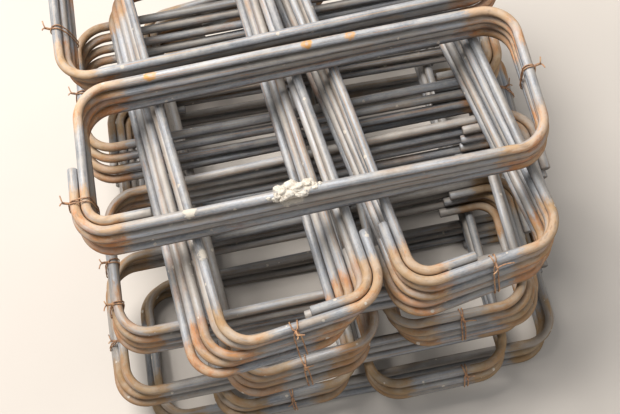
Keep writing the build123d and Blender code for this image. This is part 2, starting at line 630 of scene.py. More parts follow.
class ShaderGroup:
    """A named shader node group with its own inputs and outputs."""

    def __init__(self, name: str, inputs: dict[str, float | tuple], outputs: dict[str, str]) -> None:
        """Makes the empty group.

        Args:
            name: the group's name.
            inputs: each input's name and default: a number, a vector, or a colour with alpha.
            outputs: each output's name and socket kind: Color, Float or Vector.
        """
        self.tree = bpy.data.node_groups.new(name, "ShaderNodeTree")
        self.nodes = Nodes(self.tree)
        face = self.tree.interface
        for label, value in inputs.items():
            kind = "Float" if isinstance(value, float) else "Color" if len(value) == 4 else "Vector"
            socket = face.new_socket(name=label, in_out="INPUT", socket_type=f"NodeSocket{kind}")
            socket.default_value = value
        for label, kind in outputs.items():
            face.new_socket(name=label, in_out="OUTPUT", socket_type=f"NodeSocket{kind}")
        self.source = self.tree.nodes.new("NodeGroupInput")
        self.sink = self.tree.nodes.new("NodeGroupOutput")

    def given(self, label: str) -> Socket:
        """Returns the socket inside the group that carries the input of that name."""
        return self.source.outputs[label]

    def give(self, label: str, socket: Socket) -> None:
        """Joins a socket to the group's output of that name."""
        self.tree.links.new(socket, self.sink.inputs[label])


class SharedEffects:
    """The effects that the materials share, each one a shader node group.

    A SIZE is how many features a metre has, a FINER how many times finer than the group's own Size
    a noise is, and a RAGGED how far an edge strays.
    """

    ORIGIN = (0.0, 0.0, 0.0)
    SPOT = {"Vector": ORIGIN, "Centre": ORIGIN, "Radius": 0.01}
    RUST_FINER, DRIFT_FINER, DRIFT_SHARE = 8.0, 0.4, 0.7
    DUST_SIZE = 48.0
    # Painted shade on flanks and undersides: the size of its patches and how far its edge strays.
    GRIME_SIZE, GRIME_RAGGED = 60.0, 0.7
    EDGE_SIZE, EDGE_REACH = 210.0, 4.0
    RIM_SIZE, RIM_RAGGED, CENTRE_SHARE = 260.0, 1.1, 0.45
    PITS_FINER = 0.5
    DROP_FINER, DROP_RAGGED, DROP_RADIUS = 4.0, 0.35, 0.30

    def __init__(self) -> None:
        """Makes the groups."""
        self.rust_tone = self._rust_tone()
        self.dust_on_top = self._dust_on_top()
        self.painted_shade_below = self._painted_shade_below()
        self.ragged_spot = self._ragged_spot()
        self.ringed_spot = self._ringed_spot()
        self.fine_grain = self._fine_grain()
        self.droplets = self._droplets()

    def _rust_tone(self) -> ShaderGroup:
        """Makes the group that colours rust: streaks of a light and a dark tone, and ochre drifts.

        Returns:
            The group.
        """
        group = ShaderGroup(
            "RustTone",
            {"Vector": self.ORIGIN, "Light": (0.5, 0.25, 0.1, 1.0), "Dark": (0.2, 0.08, 0.03, 1.0),
             "Ochre": (0.5, 0.3, 0.1, 1.0), "Size": 60.0, "Shift": 0.0},
            {"Color": "Color", "Height": "Float"},
        )
        n, where, size = group.nodes, group.given("Vector"), group.given("Size")
        broad = n.noise(where, size, rough=0.55)
        fine = n.noise(where, n.times(size, self.RUST_FINER), rough=0.6)
        height = n.blend((broad, 0.7), (fine, 0.3))
        dark = n.step(n.add(height, group.given("Shift")), low=0.44, high=0.60)
        tone = n.mix(dark, group.given("Light"), group.given("Dark"))
        drift = n.noise(where, n.times(size, self.DRIFT_FINER), octaves=2.0)
        drift = n.times(n.step(drift, low=0.46, high=0.66), self.DRIFT_SHARE)
        group.give("Color", n.mix(drift, tone, group.given("Ochre")))
        group.give("Height", height)
        return group

    def _dust_on_top(self) -> ShaderGroup:
        """Makes the group that masks dust: patchy, and only where the surface faces up.

        Returns:
            The group.
        """
        group = ShaderGroup("DustOnTop", {"Vector": self.ORIGIN, "Amount": 0.5}, {"Mask": "Float"})
        n = group.nodes
        patch = n.noise(group.given("Vector"), self.DUST_SIZE, octaves=5.0, rough=0.65)
        upward = n.step(n.facing_up(), low=0.25, high=0.98)
        mask = n.times(upward, n.step(patch, low=0.36, high=0.70))
        group.give("Mask", n.times(mask, group.given("Amount"), clamp=True))
        return group

    def _painted_shade_below(self) -> ShaderGroup:
        """Makes the group that masks painted shade: patchy, on the flanks and undersides.

        Returns:
            The group.
        """
        group = ShaderGroup("PaintedShadeBelow", {"Vector": self.ORIGIN, "Amount": 0.5}, {"Mask": "Float"})
        n = group.nodes
        uneven = n.noise(group.given("Vector"), self.GRIME_SIZE, octaves=4.0, rough=0.6)
        upward = n.add(n.facing_up(), n.swing(uneven, self.GRIME_RAGGED))
        # Painted shade: darker where the surface faces sideways or down.
        mask = n.step(upward, low=0.46, high=-0.10)
        group.give("Mask", n.times(mask, group.given("Amount"), clamp=True))
        return group

    @staticmethod
    def _away(group: ShaderGroup) -> Socket:
        """Returns how far the surface lies from a spot's centre, in the spot's radii."""
        distance = group.nodes.vector("DISTANCE", group.given("Vector"), group.given("Centre"))
        return group.nodes.math("DIVIDE", distance, group.given("Radius"))

    def _ragged_spot(self) -> ShaderGroup:
        """Makes the group that masks one round spot with a ragged edge.

        Returns:
            The group.
        """
        group = ShaderGroup("RaggedSpot", {**self.SPOT, "Ragged": 0.5}, {"Mask": "Float"})
        n = group.nodes
        uneven = n.noise(group.given("Vector"), self.EDGE_SIZE, octaves=4.0, rough=0.6)
        edge = n.times(n.swing(uneven, group.given("Ragged")), self.EDGE_REACH)
        group.give("Mask", n.step(n.add(self._away(group), edge), low=1.05, high=0.75))
        return group

    def _ringed_spot(self) -> ShaderGroup:
        """Makes the group that masks a small spot which is stronger at its rim than at its centre.

        Returns:
            The group.
        """
        group = ShaderGroup("RingedSpot", self.SPOT, {"Mask": "Float"})
        n = group.nodes
        uneven = n.noise(group.given("Vector"), self.RIM_SIZE)
        away = n.add(self._away(group), n.swing(uneven, self.RIM_RAGGED))
        rim = n.times(n.step(away, low=0.15, high=0.6), 1 - self.CENTRE_SHARE)
        rim = n.add(rim, self.CENTRE_SHARE)
        group.give("Mask", n.times(n.step(away, low=1.1, high=0.7), rim))
        return group

    def _fine_grain(self) -> ShaderGroup:
        """Makes the group of fine grain and small pits.

        Returns:
            The group.
        """
        group = ShaderGroup(
            "FineGrain", {"Vector": self.ORIGIN, "Size": 900.0}, {"Value": "Float", "Pits": "Float"})
        n, where, size = group.nodes, group.given("Vector"), group.given("Size")
        group.give("Value", n.noise(where, size, octaves=4.0, rough=0.6))
        pits, _ = n.voronoi(where, n.times(size, self.PITS_FINER))
        group.give("Pits", n.step(pits, low=0.05, high=0.32))
        return group

    def _droplets(self) -> ShaderGroup:
        """Makes the group that masks sparse small droplets, one in few cells.

        Returns:
            The group.
        """
        group = ShaderGroup(
            "Droplets", {"Vector": self.ORIGIN, "Size": 110.0, "Share": 0.1}, {"Mask": "Float"})
        n, where, size = group.nodes, group.given("Vector"), group.given("Size")
        near, cell = n.voronoi(where, size)
        uneven = n.noise(where, n.times(size, self.DROP_FINER))
        near = n.add(near, n.swing(uneven, self.DROP_RAGGED))
        wet = n.step(cell, low=n.less(1.0, group.given("Share")), high=1.0)
        group.give("Mask", n.math("LESS_THAN", near, n.times(wet, self.DROP_RADIUS)))
        return group


class Coat:
    """A material in the making: its nodes, its shader and the surface's place in the heap."""

    def __init__(self, name: str, effects: SharedEffects) -> None:
        """Starts the material.

        Args:
            name: its name.
            effects: the shared node groups.
        """
        self.material = bpy.data.materials.new(name)
        self.material.use_nodes = True
        tree = self.material.node_tree
        self.effects, self.nodes = effects, Nodes(tree)
        self.shader = tree.nodes["Principled BSDF"]
        self.place = tree.nodes.new("ShaderNodeTexCoord").outputs["Object"]

    def give(self, label: str, value: Value) -> None:
        """Feeds the shader's input of that name with a socket or a value."""
        self.nodes.feed(self.shader.inputs[label], value)

    def bump(self, height: Socket, depth: float, strength: float) -> None:
        """Feeds the shader's normal from a height.

        Args:
            height: the height's socket.
            depth: the height's scale, in metres.
            strength: how strongly it shows.
        """
        bump = self.nodes.tree.nodes.new("ShaderNodeBump")
        for label, value in {"Strength": strength, "Distance": depth, "Height": height}.items():
            self.nodes.feed(bump.inputs[label], value)
        self.give("Normal", bump.outputs["Normal"])


class BarCoat(Coat):
    """The bar's material: streaky mill scale, rust at the bends, painted shade on the flanks, dust,
    mortar splashes.
    """

    def __init__(
        self, effects: SharedEffects, finish: BarFinish, mortar: MortarFinish, middle: Vector
    ) -> None:
        """Lays the coats over each other and feeds the shader.

        Args:
            effects: the shared node groups.
            finish: the bar's surface.
            mortar: the surface of the splashes on it.
            middle: the heap's middle in the bending list's frame, in metres.
        """
        super().__init__("bar_steel", effects)
        self.finish, self.middle = finish, middle
        n = self.nodes
        self.along_bar = n.attribute("bar_place", "Vector")
        self.bend, self.deep = n.attribute("bend"), n.attribute("deep")
        self.seed, self.low = n.attribute("seed"), n.attribute("low")
        self.short = n.streaks(self.along_bar, finish.short_streaks)
        self.speckle = n.streaks(self.along_bar, finish.speckles)
        self.grain = n.group(effects.fine_grain, Vector=self.along_bar, Size=finish.grain_size)
        self.dust = n.group(
            effects.dust_on_top, Vector=self.place, Amount=finish.dust_amount)["Mask"]
        self.rusty = self._rusty()
        self.splash = self._splash()
        rust_colour, rust_height = self._rust()
        colour = self._cover(n.mix(self.rusty, self._steel(), rust_colour))
        crust = n.mix(self.grain["Value"], mortar.dark, mortar.light)
        self.give("Base Color", n.mix(self.splash, colour, crust))
        self._gloss()
        self._relief(rust_height)

    def _steel(self) -> Socket:
        """Makes the bare bar's colour: streaky mill scale under a brown film.

        Returns:
            The colour's socket.
        """
        n, finish = self.nodes, self.finish
        kinds = (finish.long_streaks, finish.broad_tone)
        parts = [(n.streaks(self.along_bar, kind), kind.share) for kind in kinds]
        parts += [(self.short, finish.short_streaks.share), (self.speckle, finish.speckles.share)]
        tone = n.add(n.blend(*parts), n.swing(self.seed, finish.tone_by_bar))
        steel = n.mix(n.step(tone, *finish.tone_range), finish.scale_dark, finish.scale_light)
        kind = finish.film_streaks
        film = n.blend((n.streaks(self.along_bar, kind), kind.share), (self.short, 1 - kind.share))
        film = n.add(film, n.swing(self.seed, finish.film_by_bar))
        film = n.add(film, n.times(self.deep, finish.film_by_depth))
        return n.mix(n.shown(film, kind), steel, finish.film)

    def _rust(self) -> tuple[Socket, Socket]:
        """Makes the rust's colour: pale, orange, ochre and brown, darker further down the heap.

        Returns:
            The colour's and the height's sockets.
        """
        n, finish = self.nodes, self.finish
        shift = n.blend(
            (self.seed, finish.rust_by_bar), (self.low, finish.rust_by_height),
            (self.deep, finish.rust_by_depth))
        rust = n.group(
            self.effects.rust_tone, Vector=n.vector("MULTIPLY", self.along_bar, finish.rust_drawn_out),
            Light=finish.rust_pale, Dark=finish.rust_orange, Ochre=finish.ochre,
            Size=finish.rust_size, Shift=n.less(shift, finish.rust_base))
        brown = n.shown(n.streaks(self.along_bar, finish.brown_streaks), finish.brown_streaks)
        colour = n.mix(brown, rust["Color"], finish.rust_brown)
        # Rust darker towards the bottom of the heap.
        colour = n.mix(n.times(self.deep, finish.rust_darker_by_depth), colour, finish.rust_darker_down)
        return colour, rust["Height"]

    def _rusty(self) -> Socket:
        """Makes the mask of rust: whole at the bends, with seams, patches and flecks elsewhere.

        Returns:
            The mask's socket.
        """
        n, finish = self.nodes, self.finish
        edge, worn = finish.bend_edge, finish.worn_bends
        frayed = n.blend(
            (n.streaks(self.along_bar, edge), edge.share), (self.speckle, 1 - edge.share))
        at_bend = n.add(self.bend, n.swing(frayed, edge.strength))
        at_bend = n.add(at_bend, n.swing(self.seed, finish.edge_by_bar))
        bare = n.blend((n.streaks(self.along_bar, worn), worn.share), (self.seed, 1 - worn.share))
        worn_off = n.less(worn.strength, n.times(self.low, finish.worn_by_height))
        bare = n.times(n.step(bare, *worn.shows), worn_off)
        at_bend = n.times(n.step(at_bend, *edge.shows), n.less(1.0, bare))
        kinds = (finish.seams, finish.patches)
        masks = [n.shown(n.streaks(self.along_bar, kind), kind) for kind in kinds]
        rusty = n.larger(*masks, n.shown(self.speckle, finish.speckles), at_bend)
        bright = n.less(1.0, n.times(self.speckle, finish.bare_speckles))
        return n.times(rusty, bright, clamp=True)

    def _cover(self, colour: Socket) -> Socket:
        """Lays painted shade on flanks and undersides, fresh rust, dust and painted deep-layer shade
        over the bar's colour.

        Args:
            colour: the bar's colour.

        Returns:
            The covered colour's socket.
        """
        n, finish = self.nodes, self.finish
        # Painted shade on the bars' flanks and undersides.
        painted_flank_shade = n.group(self.effects.painted_shade_below, Vector=self.place, Amount=finish.painted_flank_shade_amount)
        colour = n.mix(painted_flank_shade["Mask"], colour, finish.painted_flank_shade)
        colour = n.mix(self._spots(self.effects.ringed_spot, FRESH_RUST), colour, finish.fresh)
        colour = n.mix(self.dust, colour, finish.dust)
        # Painted shade: the deeper layers darkened towards these colours.
        deep_shade_colour = n.mix(self.rusty, finish.deep_shade_steel, finish.deep_shade_rust)
        return n.mix(n.times(self.deep, finish.shade_by_depth), colour, deep_shade_colour)

    def _spots(self, group: ShaderGroup, spots: tuple[Splash, ...], **more: float) -> Socket:
        """Joins the masks of several spots.

        Args:
            group: the group that masks one spot.
            spots: the spots.
            more: further inputs of the group.

        Returns:
            The joined mask's socket.
        """
        masks = []
        for spot in spots:
            centre = tuple(Vector(spot.centre) * MM - self.middle)
            node = self.nodes.group(
                group, Vector=self.place, Centre=centre, Radius=spot.radius * MM, **more)
            masks.append(node["Mask"])
        return self.nodes.larger(*masks)

    def _splash(self) -> Socket:
        """Makes the mask of mortar: a few splashes and sparse droplets.

        Returns:
            The mask's socket.
        """
        n, finish = self.nodes, self.finish
        splash = self._spots(self.effects.ragged_spot, SPLASHES, Ragged=finish.splash_ragged)
        drops = n.group(
            self.effects.droplets, Vector=self.place, Size=finish.drop_size, Share=finish.drop_share)
        return n.larger(splash, n.times(drops["Mask"], finish.drop_strength))

    def _gloss(self) -> None:
        """Feeds the shader's roughness and metallic from what covers the bar."""
        n, finish = self.nodes, self.finish
        extra = n.times(self.rusty, finish.roughness_rust - finish.roughness_scale)
        rough = n.add(n.add(finish.roughness_scale, extra), n.times(self.dust, finish.roughness_dust))
        rough = n.add(rough, n.swing(self.short, finish.roughness_streaks))
        crust = n.times(self.splash, finish.roughness_crust)
        self.give("Roughness", n.larger(rough, crust, clamp=True))
        covered = n.larger(self.splash, self.dust, self.rusty)
        self.give("Metallic", n.times(n.less(1.0, covered), finish.metallic, clamp=True))

    def _relief(self, rust_height: Socket) -> None:
        """Feeds the shader's normal with grain, pits, streaks, rust and mortar crust.

        Args:
            rust_height: the rust's own height.
        """
        n, finish = self.nodes, self.finish
        height = n.blend(
            (self.grain["Value"], finish.grain_height), (self.grain["Pits"], finish.pit_height),
            (self.short, finish.streak_height), (n.times(rust_height, self.rusty), finish.rust_height),
            (self.splash, finish.crust_height))
        self.bump(height, finish.bump_depth, finish.bump_strength)


@dataclass
class Finishes:
    """Makes the materials from their finishes and the shared effects.

    middle is the heap's middle in the bending list's frame, in metres.
    """

    effects: SharedEffects
    middle: Vector

    def bar(self, finish: BarFinish, mortar: MortarFinish) -> bpy.types.Material:
        """Returns the bar's material, with splashes of the given mortar."""
        return BarCoat(self.effects, finish, mortar, self.middle).material

    def wire(self, finish: WireFinish) -> bpy.types.Material:
        """Makes the tie wire's material: dusty rust over fine grain.

        Args:
            finish: the wire's surface.

        Returns:
            The material.
        """
        coat = Coat("tie_wire", self.effects)
        n = coat.nodes
        rust = n.group(
            self.effects.rust_tone, Vector=coat.place, Light=finish.light, Dark=finish.dark,
            Ochre=finish.ochre, Size=finish.rust_size)
        dust = n.group(self.effects.dust_on_top, Vector=coat.place, Amount=finish.dust_amount)
        coat.give("Base Color", n.mix(dust["Mask"], rust["Color"], finish.dust))
        coat.give("Roughness", finish.roughness)
        grain = n.group(self.effects.fine_grain, Vector=coat.place, Size=finish.grain_size)
        coat.bump(grain["Value"], finish.bump_depth, finish.bump_strength)
        return coat.material

    def mortar(self, finish: MortarFinish) -> bpy.types.Material:
        """Makes the dried mortar's material: sandy, with pits.

        Args:
            finish: the mortar's surface.

        Returns:
            The material.
        """
        coat = Coat("dried_mortar", self.effects)
        n, share = coat.nodes, finish.tone_share
        grain = n.group(self.effects.fine_grain, Vector=coat.place, Size=finish.grain_size)
        tone = n.blend((grain["Value"], 1 - share), (n.noise(coat.place, finish.tone_size), share))
        coat.give("Base Color", n.mix(n.step(tone, *finish.tone_range), finish.dark, finish.light))
        coat.give("Roughness", finish.roughness)
        height = n.blend((grain["Value"], 1.0), (grain["Pits"], finish.pit_height))
        coat.bump(height, finish.bump_depth, finish.bump_strength)
        return coat.material

    def floor(self, finish: FloorFinish) -> bpy.types.Material:
        """Makes the plain pale floor's material.

        Args:
            finish: the floor's surface.

        Returns:
            The material.
        """
        coat = Coat("studio_floor", self.effects)
        tone = coat.nodes.noise(coat.place, finish.tone_size)
        coat.give("Base Color", coat.nodes.mix(tone, finish.dark, finish.light))
        coat.give("Roughness", finish.roughness)
        return coat.material


def unit(vectors: np.ndarray) -> np.ndarray:
    """Returns vectors brought to a length of one."""
    return vectors / np.linalg.norm(vectors, axis=-1, keepdims=True)


def flat_in_space(flat: np.ndarray) -> np.ndarray:
    """Returns places in a plane with a height of nought."""
    return np.concatenate([flat, np.zeros((len(flat), 1))], 1)


def turned(points: np.ndarray, degrees: float) -> np.ndarray:
    """Turns points about the upright axis.

    Args:
        points: the points.
        degrees: the turn.

    Returns:
        The turned points.
    """
    c, s = math.cos(math.radians(degrees)), math.sin(math.radians(degrees))
    out = np.array(points, float)
    out[..., 0] = points[..., 0] * c - points[..., 1] * s
    out[..., 1] = points[..., 0] * s + points[..., 1] * c
    return out


def link_object(name: str, data: bpy.types.ID) -> bpy.types.Object:
    """Puts a mesh, light or camera into the scene.

    Args:
        name: the object's name.
        data: what it shows.

    Returns:
        The object.
    """
    made = bpy.data.objects.new(name, data)
    bpy.context.scene.collection.objects.link(made)
    return made


@dataclass
class Track:
    """A swept centre line: points, arc length, and how much each point belongs to a bend."""

    points: np.ndarray
    along: np.ndarray
    bend: np.ndarray


@dataclass
class Tube:
    """Rings of a round bar or wire that are joined into mesh data."""

    vertices: list[np.ndarray] = field(default_factory=list)
    faces: list[np.ndarray] = field(default_factory=list)
    values: dict[str, list[np.ndarray]] = field(default_factory=dict)
    used: int = 0

    def add(self, rings: np.ndarray, values: dict[str, np.ndarray] | None = None) -> None:
        """Adds one tube with closed ends.

        Args:
            rings: the vertices, ring by ring, as rings by sides by three.
            values: attribute values of each vertex, of the same first two sizes.
        """
        count, sides = rings.shape[:2]
        ends = np.stack([rings[0].mean(0), rings[-1].mean(0)])
        self.vertices.append(np.concatenate([rings.reshape(-1, 3), ends]))
        side = np.arange(sides)
        after = (side + 1) % sides
        start = np.arange(count - 1)[:, None] * sides
        a, b = start + side, start + after
        quads = np.stack([a, b, b + sides, a + sides], -1).reshape(-1, 4)
        top = (count - 1) * sides
        caps = [
            np.stack([after, side, np.full(sides, count * sides)], -1),
            np.stack([side + top, after + top, np.full(sides, count * sides + 1)], -1)]
        self.faces += [quads + self.used, np.concatenate(caps) + self.used]
        for name, value in (values or {}).items():
            tail = np.stack([value[0].mean(0), value[-1].mean(0)])
            flat = value.reshape(count * sides, *value.shape[2:])
            self.values.setdefault(name, []).append(np.concatenate([flat, tail]))
        self.used += count * sides + len(ends)

    def mesh(self, name: str) -> bpy.types.Mesh:
        """Joins what was added into one smooth mesh.

        Args:
            name: the mesh's name.

        Returns:
            The mesh, with its attributes.
        """
        mesh = bpy.data.meshes.new(name)
        polygons = [face.tolist() for block in self.faces for face in block]
        mesh.from_pydata(np.concatenate(self.vertices).tolist(), [], polygons)
        for label, blocks in self.values.items():
            data = np.concatenate(blocks).astype(np.float32)
            kind, key = ("FLOAT_VECTOR", "vector") if data.ndim == 2 else ("FLOAT", "value")
            mesh.attributes.new(label, kind, "POINT").data.foreach_set(key, data.ravel())
        mesh.shade_smooth()
        mesh.update()
        return mesh


@dataclass(frozen=True)
class Bow:
    """How a stirrup is bowed in its own plane, in millimetres.

    size is the furthest that it drifts, and waves_x and waves_y are the lengths over which its
    slow waves turn by a radian.
    """

    size: float
    phases: np.ndarray
    waves_x: Pair = (62.0, 95.0)
    waves_y: Pair = (78.0, 110.0)

    def __call__(self, points: np.ndarray) -> np.ndarray:
        """Bows points.

        Args:
            points: places in the stirrup's plane.

        Returns:
            The places, drifted.
        """
        x, y, phases = points[..., 0], points[..., 1], self.phases
        drift_x = np.sin(y / self.waves_x[0] + phases[0, 0]) + np.sin(x / self.waves_x[1] + phases[0, 1])
        drift_y = np.sin(x / self.waves_y[0] + phases[1, 0]) + np.sin(y / self.waves_y[1] + phases[1, 1])
        return points + np.stack([drift_x, drift_y], -1) * self.size / 2


@dataclass(frozen=True)
class StirrupShape:
    """The centre line of a stirrup, sampled finely at its bends and coarsely along its legs.

    Its legs are divided in steps, its bends in bend_steps, and rust reaches out from its bends.
    """

    bar: BarSize
    step: float = 11.0
    bend_steps: int = 14
    rust_reach: float = 34.0

    def _corners(self, runs: Runs, corner: Corner, short: Pair) -> tuple[np.ndarray, list[float]]:
        """Finds where the centre line turns.

        Args:
            runs: the way the long legs run.
            corner: where the stirrup closes.
            short: how much shorter its long and its short legs are than planned, in millimetres.

        Returns:
            The two ends and the corners between them, and the radius of each bend.
        """
        bend, pitch = self.bar.bend, self.bar.pitch
        long_half, short_half = (half - cut / 2 for half, cut in zip(self.bar.halves, short))
        half_x, half_y = (long_half, short_half) if runs is Runs.ACROSS else (short_half, long_half)
        inner_x, inner_y = half_x - pitch, half_y - pitch
        reach = bend + self.bar.tail
        points = np.array([
            (half_x, reach - half_y), (half_x, -half_y), (-half_x, -half_y), (-half_x, half_y),
            (inner_x, half_y), (inner_x, -inner_y), (half_x - reach, -inner_y)])
        sign_x, sign_y = corner.value
        return points * (sign_x, -sign_y), [bend] * 4 + [bend - pitch]

    def track(self, runs: Runs, corner: Corner, short: Pair = (0.0, 0.0)) -> Track:
        """Samples the centre line in the stirrup's own plane.

        Args:
            runs: the way the long legs run.
            corner: where the stirrup closes.
            short: how much shorter its long and its short legs are than planned, in millimetres.

        Returns:
            The centre line in millimetres.
        """
        corners, radii = self._corners(runs, corner, short)
        pieces, marks, start = [], [], corners[0]
        for index, radius in enumerate(radii, 1):
            to_last = unit(corners[index - 1] - corners[index])
            to_next = unit(corners[index + 1] - corners[index])
            centre = corners[index] + (to_last + to_next) * radius
            leg = self._leg(start, corners[index] + to_last * radius)[:-1]
            turn = np.linspace(0, math.pi / 2, self.bend_steps + 1)[:-1, None]
            arc = centre - to_next * radius * np.cos(turn) - to_last * radius * np.sin(turn)
            pieces += [leg, arc]
            marks += [np.zeros(len(leg)), np.ones(len(arc))]
            start = corners[index] + to_next * radius
        pieces.append(self._leg(start, corners[-1]))
        marks.append(np.zeros(len(pieces[-1])))
        points = np.concatenate(pieces)
        lengths = np.linalg.norm(np.diff(points, axis=0), axis=1)
        along = np.concatenate([[0.0], np.cumsum(lengths)])
        bends = along[np.concatenate(marks) > 0.5]
        away = np.abs(along[:, None] - bends[None]).min(1)
        return Track(points, along, np.clip(1 - away / self.rust_reach, 0, 1))

    def _leg(self, start: np.ndarray, end: np.ndarray) -> np.ndarray:
        """Returns a straight leg's points from its start to its end, in even steps."""
        count = max(2, int(np.linalg.norm(end - start) / self.step))
        return start + (end - start) * np.linspace(0, 1, count + 1)[:, None]


@dataclass(frozen=True)
class BarSweep:
    """Sweeps a round bar along a flat track, with its bends a touch oval and its ends sheared.

    oval is how much a bend narrows the bar, and squash its height as a share of its width. uneven
    is how much its radius wavers, in a wave that turns by a radian over uneven_length and starts
    anywhere up to uneven_start. Each row of shear is a ring at a cut end: how far in it lies, and
    its share of the radius. pattern_shift is how far along its noise a bar's surface may start,
    in metres.
    """

    bar: BarSize
    sides: int = 20
    oval: float = 0.03
    squash: float = 0.995
    uneven: float = 0.012
    uneven_length: float = 37.0
    uneven_start: float = 6.0
    shear: tuple[Pair, ...] = ((0.0, 0.55), (0.25, 0.86), (1.1, 1.0))
    pattern_shift: float = 40.0

    def _with_ends(self, values: np.ndarray) -> np.ndarray:
        """Returns values with the first and the last repeated for each ring of the sheared ends."""
        first, last = (np.repeat(end, len(self.shear), 0) for end in (values[:1], values[-1:]))
        return np.concatenate([first, values[1:-1], last])

    def rings(
        self, track: Track, flat: np.ndarray, rng: np.random.Generator
    ) -> tuple[np.ndarray, dict[str, np.ndarray]]:
        """Makes the rings and what their vertices carry.

        Args:
            track: the centre line that the stirrup's bow starts from.
            flat: the bowed centre line.
            rng: the seeded source of the bar's unevenness.

        Returns:
            The rings in millimetres in the stirrup's plane, and their attributes.
        """
        radius, more = self.bar.radius, len(self.shear)
        turn = np.linspace(0, FULL_TURN, self.sides, endpoint=False)
        across, up = np.cos(turn), np.sin(turn)
        ahead = unit(np.gradient(flat, axis=0))
        wave = np.sin(track.along / self.uneven_length + rng.uniform(0, self.uneven_start))
        size = self._with_ends(radius * (1 - self.uneven * np.abs(wave)))
        along, bend = self._with_ends(track.along), self._with_ends(track.bend)
        aside = self._with_ends(np.stack([-ahead[:, 1], ahead[:, 0]], -1))
        centre = self._with_ends(flat)
        inward, share = np.array(self.shear).T
        centre[:more] += ahead[0] * inward[:, None]
        centre[-more:] -= ahead[-1] * inward[::-1, None]
        size[:more] *= share
        size[-more:] *= share[::-1]

        ring = np.zeros((len(centre), self.sides, 3))
        reach = (size * (1 - self.oval * bend))[:, None] * across
        ring[..., :2] = centre[:, None] + aside[:, None] * reach[..., None]
        ring[..., 2] = size[:, None] * up * self.squash
        shape = ring.shape[:2]
        place = np.stack([
            np.broadcast_to((along * MM + rng.uniform(0, self.pattern_shift))[:, None], shape),
            np.broadcast_to(across * radius * MM, shape),
            np.broadcast_to(up * radius * MM, shape)], -1)
        values = {
            "bar_place": place,
            "bend": np.broadcast_to(bend[:, None], shape).copy(),
            "seed": np.full(shape, rng.uniform(0, 1)),
        }
        return ring, values


@dataclass(frozen=True)
class Placed:
    """A bundle with its layer, its place in the heap, and how many layers lie under it."""

    layer: Layer
    bundle: Bundle
    origin: Triple
    level: int

    def to_bundle(self, points: np.ndarray, index: int, bar: BarSize) -> np.ndarray:
        """Moves points of one stirrup's plane into the bundle's frame.

        Args:
            points: places in the stirrup's plane, with their height above its centre line.
            index: the stirrup, from the lowest.
            bar: the bar's sizes.

        Returns:
            The places in the bundle's frame.
        """
        bundle = self.bundle
        step = index - (bundle.count - 1) / 2
        shift = (bundle.fan[0] * step, bundle.fan[1] * step, bar.radius + bar.pitch * index)
        return turned(points, bundle.twist * step) + shift

    def to_heap(self, points: np.ndarray) -> np.ndarray:
        """Returns points of the bundle's frame moved into the heap."""
        return turned(points, self.bundle.turn) + self.origin


def place_bundles(heap: tuple[Layer, ...], bar: BarSize) -> list[Placed]:
    """Works out where every bundle lies.

    Args:
        heap: the layers from the floor up.
        bar: the bar's sizes.

    Returns:
        The placed bundles from the floor up.
    """
    placed, height = [], 0.0
    for level, layer in enumerate(heap):
        for side, bundle in zip((-1, 1), layer.bundles):
            off = side * (bar.width + layer.gap) / 2
            if layer.runs is Runs.ACROSS:
                spot = (layer.middle + bundle.slide, layer.front + bar.width + layer.gap / 2 + off)
            else:
                spot = (layer.middle + off, layer.front + bar.length / 2 + bundle.slide)
            placed.append(Placed(layer, bundle, (*spot, height), level))
        height += bar.pitch * layer.bundles[0].count
    return placed


